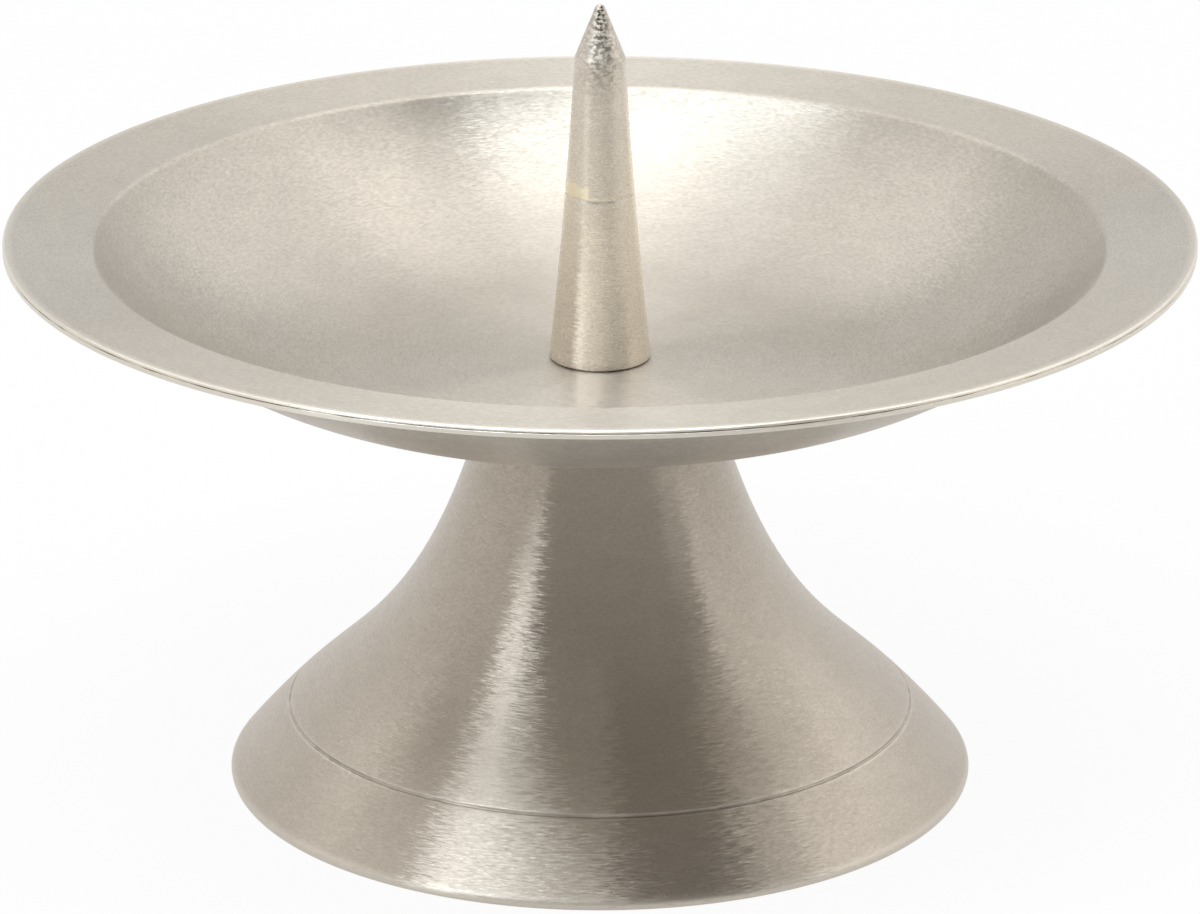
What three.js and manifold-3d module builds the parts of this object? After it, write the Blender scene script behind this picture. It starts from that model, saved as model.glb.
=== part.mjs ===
// A candle plate on a foot. A spun dish with a flat rim rests on a spun trumpet foot, and a turned
// spike, which holds the candle, stands in the middle of the dish. The threaded stud under the
// spike goes through the dish and the top of the foot, and a nut draws the three together.
//
// Millimetres, +Z up. The origin is the centre of the foot's base, on the table.

import * as THREE from 'three';
import { mergeVertices } from 'three/addons/utils/BufferGeometryUtils.js';
import Module from 'manifold-3d';

// Dish, a spun sheet
const PLATE_RADIUS = 55;
const DISH_DEPTH = 13.3; // underside of the floor to the top of the rim's edge
const DISH_SHEET = 0.8;
const FLOOR_RADIUS = 20.9; // flat seat for the candle
const SEAT_CLEARANCE = 0.3; // between the spike and the inner edge of that seat
const RIM_WIDTH = 8.2; // outer edge to the crease
const RIM_SLOPE = 5.2; // degrees, falling towards the crease
const BOWL_SLOPE = 35; // degrees, where the wide curve of the bowl meets its tighter one
const WALL_SLOPE = 61; // degrees, at the crease
const CREASE_RADIUS = 0.1; // on the underside of the sheet
const RIM_CHAMFER = 0.25;

// Foot, a spun trumpet
const FOOT_HEIGHT = 40.2;
const FOOT_RADIUS = 34.9;
const FOOT_WALL = 1.2;
const EDGE_RADIUS = 0.6; // rounding of the lower edge
const LAND_HEIGHT = 1; // upright inner face above the ring that stands on the table
const SKIRT_CURVE = 3; // degrees, half of what the skirt turns between edge and groove
const GROOVE_HEIGHT = 7; // turned line above the table
const GROOVE_INSET = 5.6; // turned line inside the foot's radius
const GROOVE_WIDTH = 0.4;
const GROOVE_DEPTH = 0.18;
const NECK_RADIUS = 10.2;
const NECK_SLOPE = 13.5; // degrees from upright, at the top of the neck
const NECK_PULL = 0.62; // how far the neck keeps its direction, as a share of the flank
const SKIRT_PULL = 0.22; // the same for the lower end of the flank
const NECK_BEND = 0.6; // inside radius where the neck turns into the flat top

// Spike, a turned piece with its stud
const SPIKE_HEIGHT = 34; // above the floor of the dish
const SPIKE_RADIUS = 4.7;
const SPIKE_EDGE = 0.3; // rounding where the spike stands on the dish
const SPIKE_WAIST = 0.18; // how far the flank dips below a straight taper
const POINT_LENGTH = 5; // steeper cone at the top
const POINT_RADIUS = 2.33; // where that cone starts
const TIP_RADIUS = 0.5;
const STUD_RADIUS = 2.5;
const STUD_CHAMFER = 0.5;
const STUD_END = 1.8; // length that stands out below the nut
const STUD_CLEARANCE = 0.25; // between the stud and each hole around it

// Fasteners inside the foot
const WASHER_RADIUS = 5;
const WASHER_THICKNESS = 1;
const SPRING_RADIUS = 4.6;
const SPRING_THICKNESS = 1.2;
const SPRING_SLIT = 0.9;
const SPRING_SLIT_TILT = 25; // degrees from upright
const NUT_FLATS = 8;
const NUT_THICKNESS = 4;
const NUT_CHAMFER = 30; // degrees
const NUT_COUNTERSINK = 0.4;

// Facets around the axis
const FACETS_DISH = 72;
const FACETS_FOOT = 60;
const FACETS_SMALL = 28;

const radians = THREE.MathUtils.degToRad;
const point = (r, z) => new THREE.Vector2(r, z);
const HOLE_RADIUS = STUD_RADIUS + STUD_CLEARANCE;

// Seats, from the table up
const SEAT_DISH = FOOT_HEIGHT;
const SEAT_SPIKE = SEAT_DISH + DISH_SHEET;
const SEAT_WASHER = FOOT_HEIGHT - FOOT_WALL - WASHER_THICKNESS;
const SEAT_SPRING = SEAT_WASHER - SPRING_THICKNESS;
const SEAT_NUT = SEAT_SPRING - NUT_THICKNESS;

// The direction of a line that rises at an angle, and the direction square to it on its left
const along = (angle) => point(Math.cos(angle), Math.sin(angle));
const leftOf = (angle) => point(-Math.sin(angle), Math.cos(angle));
const moved = (start, direction, distance) => start.clone().addScaledVector(direction, distance);

// An arc round a centre, from one angle to another, in radians
function arc(centre, radius, from, to) {
    return new THREE.EllipseCurve(centre.x, centre.y, radius, radius, from, to, to < from);
}

// Points along a chain of curves that run smoothly into each other, each point moved sideways by the
// offset, to the left of the chain's direction. An offset chain is the other side of a sheet.
function trace(chain, offset = 0) {
    const points = [];
    for (const [curve, steps] of chain) {
        for (let i = points.length > 0 ? 1 : 0; i <= steps; i++) {
            const side = curve.getTangent(i / steps);
            points.push(moved(curve.getPoint(i / steps), point(-side.y, side.x), offset));
        }
    }
    return points;
}

// A solid of revolution about Z. The outline is [r, z] points, up the outside and down the inside;
// one that doesn't touch the axis is closed on itself.
function turned(outline, facets) {
    const onAxis = outline[0].x === 0;
    const closed = onAxis ? outline : [...outline, outline[0]];
    return new THREE.LatheGeometry(closed, facets).rotateX(Math.PI / 2);
}

const wasm = await Module();
wasm.setup();

// A closed geometry as a solid that can be cut and joined
function solid(geometry) {
    const bare = geometry.clone();
    bare.deleteAttribute('normal');
    bare.deleteAttribute('uv');
    const merged = mergeVertices(bare);
    return new wasm.Manifold(new wasm.Mesh({
        numProp: 3,
        vertProperties: merged.attributes.position.array,
        triVerts: new Uint32Array(merged.index.array)
    }));
}

// The geometry of a solid that was cut or joined
function geometryOf(shape) {
    const mesh = shape.getMesh();
    const geometry = new THREE.BufferGeometry();
    geometry.setAttribute('position', new THREE.BufferAttribute(mesh.vertProperties, 3));
    geometry.setIndex(new THREE.BufferAttribute(mesh.triVerts, 1));
    return geometry;
}

// The dish is one sheet. Its upper side runs flat, up a wide curve and a tighter one, over the crease
// and out along the rim. The run and the rise between floor and crease give the two curves' radii.
function dishGeometry() {
    const rimAngle = radians(RIM_SLOPE);
    const bowlAngle = radians(BOWL_SLOPE);
    const wallAngle = radians(WALL_SLOPE);
    const creaseRadius = CREASE_RADIUS + DISH_SHEET;

    const rimEdge = point(PLATE_RADIUS, DISH_DEPTH);
    const creaseCorner = moved(rimEdge, along(rimAngle), -RIM_WIDTH / Math.cos(rimAngle));
    const creaseTangent = creaseRadius * Math.tan((wallAngle - rimAngle) / 2);
    const wallTop = moved(creaseCorner, along(wallAngle), -creaseTangent);
    const rimStart = moved(creaseCorner, along(rimAngle), creaseTangent);
    const creaseCentre = moved(rimStart, leftOf(rimAngle), -creaseRadius);

    // Two equations, one for the run and one for the rise, solved for the two radii
    const seatEdge = point(SPIKE_RADIUS + SEAT_CLEARANCE, DISH_SHEET);
    const floorEdge = point(FLOOR_RADIUS, DISH_SHEET);
    const run = wallTop.x - floorEdge.x;
    const rise = wallTop.y - floorEdge.y;
    const runWide = Math.sin(bowlAngle);
    const runTight = Math.sin(wallAngle) - Math.sin(bowlAngle);
    const riseWide = 1 - Math.cos(bowlAngle);
    const riseTight = Math.cos(bowlAngle) - Math.cos(wallAngle);
    const determinant = runWide * riseTight - runTight * riseWide;
    const wideRadius = (run * riseTight - runTight * rise) / determinant;
    const tightRadius = (runWide * rise - riseWide * run) / determinant;

    const quarter = Math.PI / 2;
    const wideCentre = moved(floorEdge, point(0, 1), wideRadius);
    const tightCentre = moved(wallTop, leftOf(wallAngle), tightRadius);
    const sheet = [
        [new THREE.LineCurve(point(HOLE_RADIUS, DISH_SHEET), seatEdge), 1],
        [new THREE.LineCurve(seatEdge, floorEdge), 1],
        [arc(wideCentre, wideRadius, -quarter, bowlAngle - quarter), 6],
        [arc(tightCentre, tightRadius, bowlAngle - quarter, wallAngle - quarter), 4],
        [arc(creaseCentre, creaseRadius, wallAngle + quarter, rimAngle + quarter), 3],
        [new THREE.LineCurve(rimStart, rimEdge), 1]
    ];
    const top = trace(sheet);
    const underside = trace(sheet, -DISH_SHEET);

    // The rim's end is cut upright, with its upper corner taken off
    const rimEnd = top.pop();
    const rimUnder = underside.pop();
    const lowerCorner = point(rimEnd.x, rimUnder.y + (rimEnd.x - rimUnder.x) * Math.tan(rimAngle));
    const upperCorner = point(rimEnd.x, rimEnd.y - RIM_CHAMFER);
    const chamferTop = moved(rimEnd, along(rimAngle), -RIM_CHAMFER);
    return turned([...underside, lowerCorner, upperCorner, chamferTop, ...top.reverse()], FACETS_DISH);
}

// The foot is one sheet too. Its outer side runs from the lower edge up the skirt, a long arc, to the
// turned line, on up a flank that sweeps into the neck, and over a bend into the flat top.
function footGeometry() {
    const half = radians(SKIRT_CURVE);
    const bend = NECK_BEND + FOOT_WALL;
    const edgeCentre = point(FOOT_RADIUS - EDGE_RADIUS, EDGE_RADIUS);
    const groove = point(FOOT_RADIUS - GROOVE_INSET, GROOVE_HEIGHT);

    // The chord from the groove to the edge's rounding leans so that the skirt's arc meets the
    // rounding smoothly. Angles are those of the outward normal, which is 0 on an upright wall.
    const fromEdge = groove.clone().sub(edgeCentre);
    const chordAngle = fromEdge.angle() - Math.acos(EDGE_RADIUS * Math.cos(half) / fromEdge.length());
    const edgeAngle = chordAngle - half;
    const grooveAngle = chordAngle + half;
    const edgeTop = moved(edgeCentre, along(edgeAngle), EDGE_RADIUS);
    const skirtRadius = edgeTop.distanceTo(groove) / (2 * Math.sin(half));
    const skirtCentre = moved(groove, along(grooveAngle), -skirtRadius);

    const neckAngle = radians(NECK_SLOPE);
    const neckTop = point(NECK_RADIUS, FOOT_HEIGHT - bend * (1 - Math.sin(neckAngle)));
    const bendCentre = moved(neckTop, along(neckAngle), -bend);
    const flank = groove.distanceTo(neckTop);
    const skirt = [[arc(skirtCentre, skirtRadius, edgeAngle, grooveAngle), 2]];
    const body = [
        [new THREE.CubicBezierCurve(
            groove,
            moved(groove, leftOf(grooveAngle), SKIRT_PULL * flank),
            moved(neckTop, leftOf(neckAngle), -NECK_PULL * flank),
            neckTop
        ), 12],
        [arc(bendCentre, bend, neckAngle, Math.PI / 2), 3],
        [new THREE.LineCurve(point(bendCentre.x, FOOT_HEIGHT), point(HOLE_RADIUS, FOOT_HEIGHT)), 1]
    ];

    // The turned line is a small V, cut where skirt and flank meet
    const line = leftOf(grooveAngle);
    const cut = [
        moved(groove, line, -GROOVE_WIDTH / 2),
        moved(groove, along(grooveAngle), -GROOVE_DEPTH),
        moved(groove, line, GROOVE_WIDTH / 2)
    ];
    const edge = trace([[arc(edgeCentre, EDGE_RADIUS, -Math.PI / 2, edgeAngle), 3]]);
    const outside = [...edge, ...trace(skirt).slice(1, -1), ...cut, ...trace(body).slice(1)];

    // Inside, the sheet ends at a short upright face, so the ring on the table is flat
    const inside = trace([...skirt, ...body], FOOT_WALL);
    const above = inside.findIndex((place) => place.y > LAND_HEIGHT);
    const start = inside[above - 1];
    const end = inside[above];
    const landTop = start.clone().lerp(end, (LAND_HEIGHT - start.y) / (end.y - start.y));
    const hollow = [...inside.slice(above).reverse(), landTop, point(landTop.x, 0)];
    return turned([...outside, ...hollow], FACETS_FOOT);
}

// The spike tapers along a slightly hollow flank, then along a steeper cone to a blunt tip. The stud
// below it is plain here, at the size of its thread.
function spikeGeometry() {
    const studEnd = SEAT_NUT - STUD_END - SEAT_SPIKE;
    const shoulder = point(POINT_RADIUS, SPIKE_HEIGHT - POINT_LENGTH);
    const foot = point(SPIKE_RADIUS, SPIKE_EDGE);
    const edge = arc(point(SPIKE_RADIUS - SPIKE_EDGE, SPIKE_EDGE), SPIKE_EDGE, -Math.PI / 2, 0);
    const middle = foot.clone().add(shoulder).multiplyScalar(0.5);
    const flank = new THREE.QuadraticBezierCurve(foot, middle.add(point(-2 * SPIKE_WAIST, 0)), shoulder);

    // The cone runs on into the ball of the tip
    const ball = point(0, SPIKE_HEIGHT - TIP_RADIUS);
    const toShoulder = shoulder.clone().sub(ball);
    const coneAngle = Math.atan2(toShoulder.y, toShoulder.x) + Math.acos(TIP_RADIUS / toShoulder.length());
    const tip = trace([[arc(ball, TIP_RADIUS, coneAngle, Math.PI / 2), 4]]).slice(0, -1);
    return turned([
        point(0, studEnd),
        point(STUD_RADIUS - STUD_CHAMFER, studEnd),
        point(STUD_RADIUS, studEnd + STUD_CHAMFER),
        point(STUD_RADIUS, 0),
        ...trace([[edge, 3]]),
        ...trace([[flank, 10]]).slice(1),
        ...tip,
        point(0, SPIKE_HEIGHT)
    ], FACETS_SMALL);
}

// A flat ring round the stud
function ringGeometry(radius, thickness) {
    return turned([
        point(HOLE_RADIUS, 0),
        point(radius, 0),
        point(radius, thickness),
        point(HOLE_RADIUS, thickness)
    ], FACETS_SMALL);
}

// The spring washer is drawn flat by the nut, and is slit by a slanted cut
function springWasherGeometry() {
    const reach = 2 * SPRING_RADIUS;
    const slit = new THREE.BoxGeometry(reach, SPRING_SLIT, reach)
        .rotateX(radians(SPRING_SLIT_TILT))
        .translate(reach / 2, 0, SPRING_THICKNESS / 2);
    return geometryOf(solid(ringGeometry(SPRING_RADIUS, SPRING_THICKNESS)).subtract(solid(slit)));
}

// The nut is a hexagonal prism inside a chamfered disc, with a countersunk bore
function nutGeometry() {
    const corner = NUT_FLATS / Math.sqrt(3);
    const hexagon = new THREE.Shape();
    for (let i = 0; i < 6; i++) {
        const angle = i * Math.PI / 3;
        const place = [corner * Math.cos(angle), corner * Math.sin(angle)];
        if (i === 0) hexagon.moveTo(...place);
        else hexagon.lineTo(...place);
    }
    const prism = new THREE.ExtrudeGeometry(hexagon, { depth: NUT_THICKNESS, bevelEnabled: false });

    const face = 0.95 * NUT_FLATS / 2;
    const discRadius = corner + NUT_COUNTERSINK;
    const drop = (discRadius - face) * Math.tan(radians(NUT_CHAMFER));
    const disc = turned([
        point(0, 0),
        point(face, 0),
        point(discRadius, drop),
        point(discRadius, NUT_THICKNESS - drop),
        point(face, NUT_THICKNESS),
        point(0, NUT_THICKNESS)
    ], FACETS_SMALL);
    const bore = turned([
        point(0, -NUT_COUNTERSINK),
        point(HOLE_RADIUS + 2 * NUT_COUNTERSINK, -NUT_COUNTERSINK),
        point(HOLE_RADIUS, NUT_COUNTERSINK),
        point(HOLE_RADIUS, NUT_THICKNESS - NUT_COUNTERSINK),
        point(HOLE_RADIUS + 2 * NUT_COUNTERSINK, NUT_THICKNESS + NUT_COUNTERSINK),
        point(0, NUT_THICKNESS + NUT_COUNTERSINK)
    ], FACETS_SMALL);
    return geometryOf(solid(prism).intersect(solid(disc)).subtract(solid(bore)));
}

// Finishes, from the photographed object: satin nickel on what shows, bright zinc inside the foot
const satinNickel = { color: 0xc4bcae, roughness: 0.38, metalness: 1 };
const turnedNickel = { color: 0xb8b09f, roughness: 0.3, metalness: 1 };
const zincPlate = { color: 0xb4b8bc, roughness: 0.35, metalness: 1 };

const candlePlate = new THREE.Group();

// Adds one piece at its height above the table
function addPiece(name, geometry, finish, height) {
    const piece = new THREE.Mesh(geometry, new THREE.MeshStandardMaterial(finish));
    piece.name = name;
    piece.position.z = height;
    candlePlate.add(piece);
}

addPiece('dish', dishGeometry(), satinNickel, SEAT_DISH);
addPiece('foot', footGeometry(), satinNickel, 0);
addPiece('spike', spikeGeometry(), turnedNickel, SEAT_SPIKE);
addPiece('flat_washer', ringGeometry(WASHER_RADIUS, WASHER_THICKNESS), zincPlate, SEAT_WASHER);
addPiece('spring_washer', springWasherGeometry(), zincPlate, SEAT_SPRING);
addPiece('hex_nut', nutGeometry(), zincPlate, SEAT_NUT);

export default candlePlate;
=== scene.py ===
# A candle plate of satin nickel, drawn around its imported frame: a spun dish with a flat rim on a
# spun trumpet foot, a turned spike for the candle, and the nut and washers that hold them together.
#
# Lengths are metres and angles radians, +Z up. The origin is the centre of the foot's base, and
# azimuths are counted from -Y, where the camera stands, towards +X.

import math

import bmesh
import bpy
import numpy as np
from bpy.props import FloatProperty, FloatVectorProperty, PointerProperty
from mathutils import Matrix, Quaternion, Vector


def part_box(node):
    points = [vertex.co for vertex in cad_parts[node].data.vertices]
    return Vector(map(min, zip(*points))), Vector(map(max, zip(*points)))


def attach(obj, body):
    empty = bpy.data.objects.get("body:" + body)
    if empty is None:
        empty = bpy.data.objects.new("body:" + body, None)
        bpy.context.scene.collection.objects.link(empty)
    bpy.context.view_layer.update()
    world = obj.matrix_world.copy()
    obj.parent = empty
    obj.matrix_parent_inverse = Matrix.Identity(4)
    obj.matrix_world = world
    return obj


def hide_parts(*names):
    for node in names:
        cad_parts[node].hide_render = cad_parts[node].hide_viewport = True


bl_info = {
    "name": "Candle plate",
    "version": (1, 0, 0),
    "blender": (4, 5, 0),
    "location": "3D View > Sidebar > Candle Plate",
    "description": "A footed candle plate with its spike and fasteners, drawn piece by piece",
    "category": "Add Mesh",
}

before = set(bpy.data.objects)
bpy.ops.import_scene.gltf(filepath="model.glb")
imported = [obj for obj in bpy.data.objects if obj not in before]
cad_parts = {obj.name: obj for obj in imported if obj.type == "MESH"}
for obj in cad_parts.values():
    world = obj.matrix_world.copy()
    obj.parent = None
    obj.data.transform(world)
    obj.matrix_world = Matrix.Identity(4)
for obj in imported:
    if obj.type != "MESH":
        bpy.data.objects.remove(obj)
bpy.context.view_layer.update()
DISH_LOW, DISH_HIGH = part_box("dish")
FOOT_LOW, FOOT_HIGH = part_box("foot")
SPIKE_LOW, SPIKE_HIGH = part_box("spike")
WASHER_LOW, WASHER_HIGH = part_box("flat_washer")
SPRING_LOW, SPRING_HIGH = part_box("spring_washer")
NUT_LOW, NUT_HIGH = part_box("hex_nut")

MM = 0.001
QUARTER = math.pi / 2
TURN = 2 * math.pi
BODY = "root"

DISH_SHEET = 0.8 * MM
SPIKE_SEAT = DISH_LOW.z + DISH_SHEET
CORNER = 0.1 * MM  # rounding of small stamped and turned corners
FOLD_PLACE = 1.35  # how far below the rim's edge its fold lies, in beads
CLOSE_ROWS = 1 * MM  # the dish's rows are closer together up to this far from the spike
SKIRT_PULL = 0.22  # length of the lower handle of the foot's long curve, as a share of its chord
NECK_PULL = 0.62  # length of its upper handle
GROOVE_MARGIN = 0.6  # how far other rows keep from the turned line's middle, in groove widths
SHOULDER_RADIUS = 0.8 * MM  # rounding where the spike's steeper cone starts
SCORE_DEPTH = 0.05 * MM
SCORE_WIDTH = 0.1 * MM
SCORE_MARGIN = 4 * SCORE_WIDTH  # the spike's rows are closer together up to this far from it
THREAD_DEPTH = 0.6  # share of the pitch
THREAD_STRETCH = 1.3  # height of the thread's wave before it is cut flat, in depths
THREAD_CREST = 0.1  # how much of that is cut off along the crest
THREAD_RUNOUT = 1 * MM
THREAD_CLEARANCE = 0.06 * MM
NUT_FACE = 0.95  # flat part of the nut's ends, as a share of its width across flats

# Points round the axis
STEPS_SHEET = 384
STEPS_SPIKE = 192
STEPS_SMALL = 144

SHARP_ANGLE = math.radians(34)  # edges sharper than this are not shaded smooth
MERGE_DISTANCE = 1e-4 * MM

# Painted shade, dark in grooves and corners, and painted highlight, pale along edges and lips:
# how strong each is at most, and how far it reaches
SHADE_BESIDE_SPIKE = (0.5, 0.25 * MM)
SHADE_UNDER_SPIKE = (0.8, 0.12 * MM)
SHADE_IN_SCORE = (0.2, SCORE_WIDTH)
SHADE_IN_GROOVE = (0.8, 0.14 * MM)
HIGHLIGHT_ON_LIPS = (0.35, 0.1 * MM)
HIGHLIGHT_ON_FOOT = (0.5, 0.25 * MM)
HIGHLIGHT_ON_RIM = 1.6  # how far in from the rim's edge the painted highlight starts, in beads


def linear(hexcode):
    """An sRGB hex as linear RGBA: c / 12.92 up to 0.04045, else ((c + 0.055) / 1.055)^2.4."""
    parts = [int(hexcode[i:i + 2], 16) / 255 for i in (1, 3, 5)]
    return [c / 12.92 if c <= 0.04045 else ((c + 0.055) / 1.055) ** 2.4 for c in parts] + [1]


# Sizes and colours that a user would change


def length(name, metres, note):
    return FloatProperty(
        name=name, description=note, default=metres, min=0, unit="LENGTH", precision=5
    )


def angle(name, degrees, note):
    return FloatProperty(
        name=name, description=note, default=math.radians(degrees), subtype="ANGLE", unit="ROTATION"
    )


def colour(name, hexcode, note):
    return FloatVectorProperty(
        name=name, description=note, default=linear(hexcode)[:3], min=0, max=1, subtype="COLOR"
    )


class DishSizes(bpy.types.PropertyGroup):
    radius: length("Radius", DISH_HIGH.x, "Axis to the edge of the rim")
    depth: length("Depth", DISH_HIGH.z - DISH_LOW.z, "Underside to the top of the rim's edge")
    floor_radius: length("Floor radius", 22.2 * MM, "Flat seat for the candle")
    rim_width: length("Rim width", 8.2 * MM, "Edge to the crease")
    rim_slope: angle("Rim slope", 5.2, "How far the rim falls towards the crease")
    bowl_slope: angle("Bowl slope", 40, "Where the wide curve of the bowl meets the tighter one")
    wall_slope: angle("Wall slope", 52, "The wall at the crease")
    crease_radius: length("Crease radius", 0.1 * MM, "Crease, on the underside of the sheet")
    bead: length("Edge bead", 0.24 * MM, "Rounding along the top of the rim's edge")
    fold: length("Edge fold", 0.08 * MM, "Depth of the thin fold under the bead")


class FootSizes(bpy.types.PropertyGroup):
    height: length("Height", FOOT_HIGH.z, "Table to the flat top")
    radius: length("Radius", FOOT_HIGH.x, "Axis to the widest part of the edge")
    wall: length("Wall", 1.2 * MM, "Thickness of the sheet")
    edge: length("Edge radius", 0.6 * MM, "Rounding of the lower edge")
    land: length("Land", 1 * MM, "Upright inner face above the ring on the table")
    skirt_curve: angle("Skirt curve", 3, "Half of what the skirt turns between edge and groove")
    groove_height: length("Groove height", 7 * MM, "Turned line above the table")
    groove_inset: length("Groove inset", 5.6 * MM, "Turned line inside the foot's radius")
    groove_width: length("Groove width", 0.44 * MM, "Turned line, lip to lip")
    groove_depth: length("Groove depth", 0.16 * MM, "Turned line below the surface")
    neck_radius: length("Neck radius", 10.2 * MM, "Narrowest part, at the top")
    neck_slope: angle("Neck slope", 13.5, "Away from upright, at the top of the neck")
    neck_bend: length("Neck bend", 0.6 * MM, "Inside radius where the neck turns into the flat top")


class SpikeSizes(bpy.types.PropertyGroup):
    height: length("Height", SPIKE_HIGH.z - SPIKE_SEAT, "Floor of the dish to the tip")
    radius: length("Radius", 4.7 * MM, "At the floor of the dish")
    edge: length("Edge radius", 0.3 * MM, "Rounding where the spike stands on the dish")
    waist: length("Waist", 0.18 * MM, "How far the flank dips below a straight taper")
    point_length: length("Point length", 5 * MM, "Steeper cone at the top")
    point_radius: length("Point radius", 2.33 * MM, "Where the steeper cone starts")
    tip_radius: length("Tip radius", 0.5 * MM, "Blunt end")
    score_height: length("Score height", 16.1 * MM, "Scored ring above the floor of the dish")
    stud_radius: length("Stud radius", 2.48 * MM, "Outside of the M5 thread")
    stud_pitch: length("Thread pitch", 0.8 * MM, "M5 coarse thread")


class FastenerSizes(bpy.types.PropertyGroup):
    hole_radius: length("Hole radius", 2.75 * MM, "Clearance hole for the stud")
    washer_radius: length("Washer radius", WASHER_HIGH.x, "Flat washer")
    spring_radius: length("Spring washer radius", SPRING_HIGH.x, "Slit spring washer")
    slit: length("Slit", 0.9 * MM, "Opening of the spring washer")
    slit_tilt: angle("Slit tilt", 25, "Slant of the slit, away from upright")
    nut_flats: length("Across flats", 8 * MM, "Spanner size of the nut")
    nut_chamfer: angle("Nut chamfer", 30, "Slope of the turned corners")
    countersink: length("Countersink", 0.4 * MM, "Lead-in of the nut's thread")


class Finishes(bpy.types.PropertyGroup):
    satin: colour("Satin nickel", "#b7b0a5", "Dish")
    # The foot's nickel is the dish's plating tinted a little warmer: painted warm reflection of
    # what the foot mirrors
    brushed: colour("Brushed nickel", "#b7ada0", "Foot")
    # Painted highlight: this paler nickel is painted along the rim's edge, the foot's lower edge
    # and the lips of the turned line
    bright: colour("Burnished nickel", "#dcd5c9", "Edges and lips that are rubbed bright")
    turned: colour("Turned nickel", "#d8d0c4", "Spike")
    brass: colour("Bare brass", "#e5ddc4", "Where the nickel on the spike has worn off")
    # Painted shade: this dark colour is painted in the turned line, the rim's fold, the scored
    # ring, the pits of the point and round the spike's foot
    painted_shade: colour("Grime", "#3d362c", "Dirt and polish left in grooves and pits")
    zinc: colour("Zinc", "#c3c8cc", "Nut and flat washer")
    steel: colour("Spring steel", "#8f9294", "Spring washer")
    table: colour("Table", "#ecebe8", "Plain floor")


GROUPS = {
    "candle_dish": DishSizes,
    "candle_foot": FootSizes,
    "candle_spike": SpikeSizes,
    "candle_fasteners": FastenerSizes,
    "candle_finishes": Finishes,
}


# Outlines are arrays of (radius, height). A curve is a pair: its points, and its unit directions.


def heading(turned_by):
    """The unit vector (cos a, sin a)."""
    return np.array([math.cos(turned_by), math.sin(turned_by)])


def left_of(turned_by):
    """The unit vector square to a heading, on its left: (-sin a, cos a)."""
    return np.array([-math.sin(turned_by), math.cos(turned_by)])


def line(start, end, steps):
    """P(t) = start + t (end - start)."""
    t = np.linspace(0, 1, steps + 1)[:, None]
    start, end = np.array(start, float), np.array(end, float)
    way = (end - start) / np.linalg.norm(end - start)
    return start + t * (end - start), np.repeat(way[None], steps + 1, 0)


def arc(centre, radius, start, end, steps):
    """P(a) = centre + radius (cos a, sin a), from the angle start to the angle end."""
    a = np.linspace(start, end, steps + 1)
    out = np.stack([np.cos(a), np.sin(a)], 1)
    way = np.stack([-np.sin(a), np.cos(a)], 1) * np.sign(end - start)
    return np.array(centre, float) + radius * out, way


def bezier(handles, steps):
    """P(t) = the sum over k of C(n, k) (1 - t)^(n - k) t^k H_k, for n + 1 handles."""
    handles = np.array(handles, float)
    t = np.linspace(0, 1, steps + 1)[:, None]

    def blend(control):
        n = len(control) - 1
        return sum(math.comb(n, k) * (1 - t) ** (n - k) * t**k * control[k] for k in range(n + 1))

    way = blend(np.diff(handles, axis=0))
    return blend(handles), way / np.linalg.norm(way, axis=1, keepdims=True)


def trace(chain, offset=0.0):
    """The points of smoothly joined curves, each moved sideways: P + offset (-dy, dx)."""
    points = np.concatenate([chain[0][0][:1]] + [curve[0][1:] for curve in chain])
    ways = np.concatenate([chain[0][1][:1]] + [curve[1][1:] for curve in chain])
    return points + offset * np.stack([-ways[:, 1], ways[:, 0]], 1)


def fillet(before, corner, after, radius, steps=6):
    """The arc of a given radius that touches both sides of a corner, from the first to the second.

    With unit vectors u and v along the sides and half the corner's angle h, the arc starts at
    corner + u r / tan h, and its centre is corner + unit(u + v) r / sin h.
    """
    before, corner, after = (np.array(place, float) for place in (before, corner, after))
    u = (before - corner) / np.linalg.norm(before - corner)
    v = (after - corner) / np.linalg.norm(after - corner)
    half = math.acos(np.clip(u @ v, -1, 1)) / 2
    centre = corner + (u + v) / np.linalg.norm(u + v) * radius / math.sin(half)
    first = corner + u * radius / math.tan(half) - centre
    last = corner + v * radius / math.tan(half) - centre
    start = math.atan2(first[1], first[0])
    sweep = (math.atan2(last[1], last[0]) - start + math.pi) % TURN - math.pi
    return arc(centre, radius, start, start + sweep, steps)[0]


def bump(distance, height, reach):
    """What lies along a line and fades away from it: height e^(-(distance / reach)^2)."""
    return height * np.exp(-((distance / reach) ** 2))


def rounded(corners, radius):
    """A closed outline with an arc of the same radius at every corner."""
    count = len(corners)
    arcs = [
        fillet(corners[i - 1], corners[i], corners[(i + 1) % count], radius) for i in range(count)
    ]
    return np.concatenate(arcs)


def round_axis(radius, around, height):
    """P = (r cos a, r sin a, z), for arrays of radius, angle and height that fit together."""
    radius, around, height = np.broadcast_arrays(radius, around, height)
    return np.stack([radius * np.cos(around), radius * np.sin(around), height], -1)


def turned(outline, steps):
    """P(s, a) = (r(s) cos a, r(s) sin a, z(s)): an outline turned about the axis."""
    around = np.linspace(0, TURN, steps, endpoint=False)
    return round_axis(outline[:, :1], around, outline[:, 1:])


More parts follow.
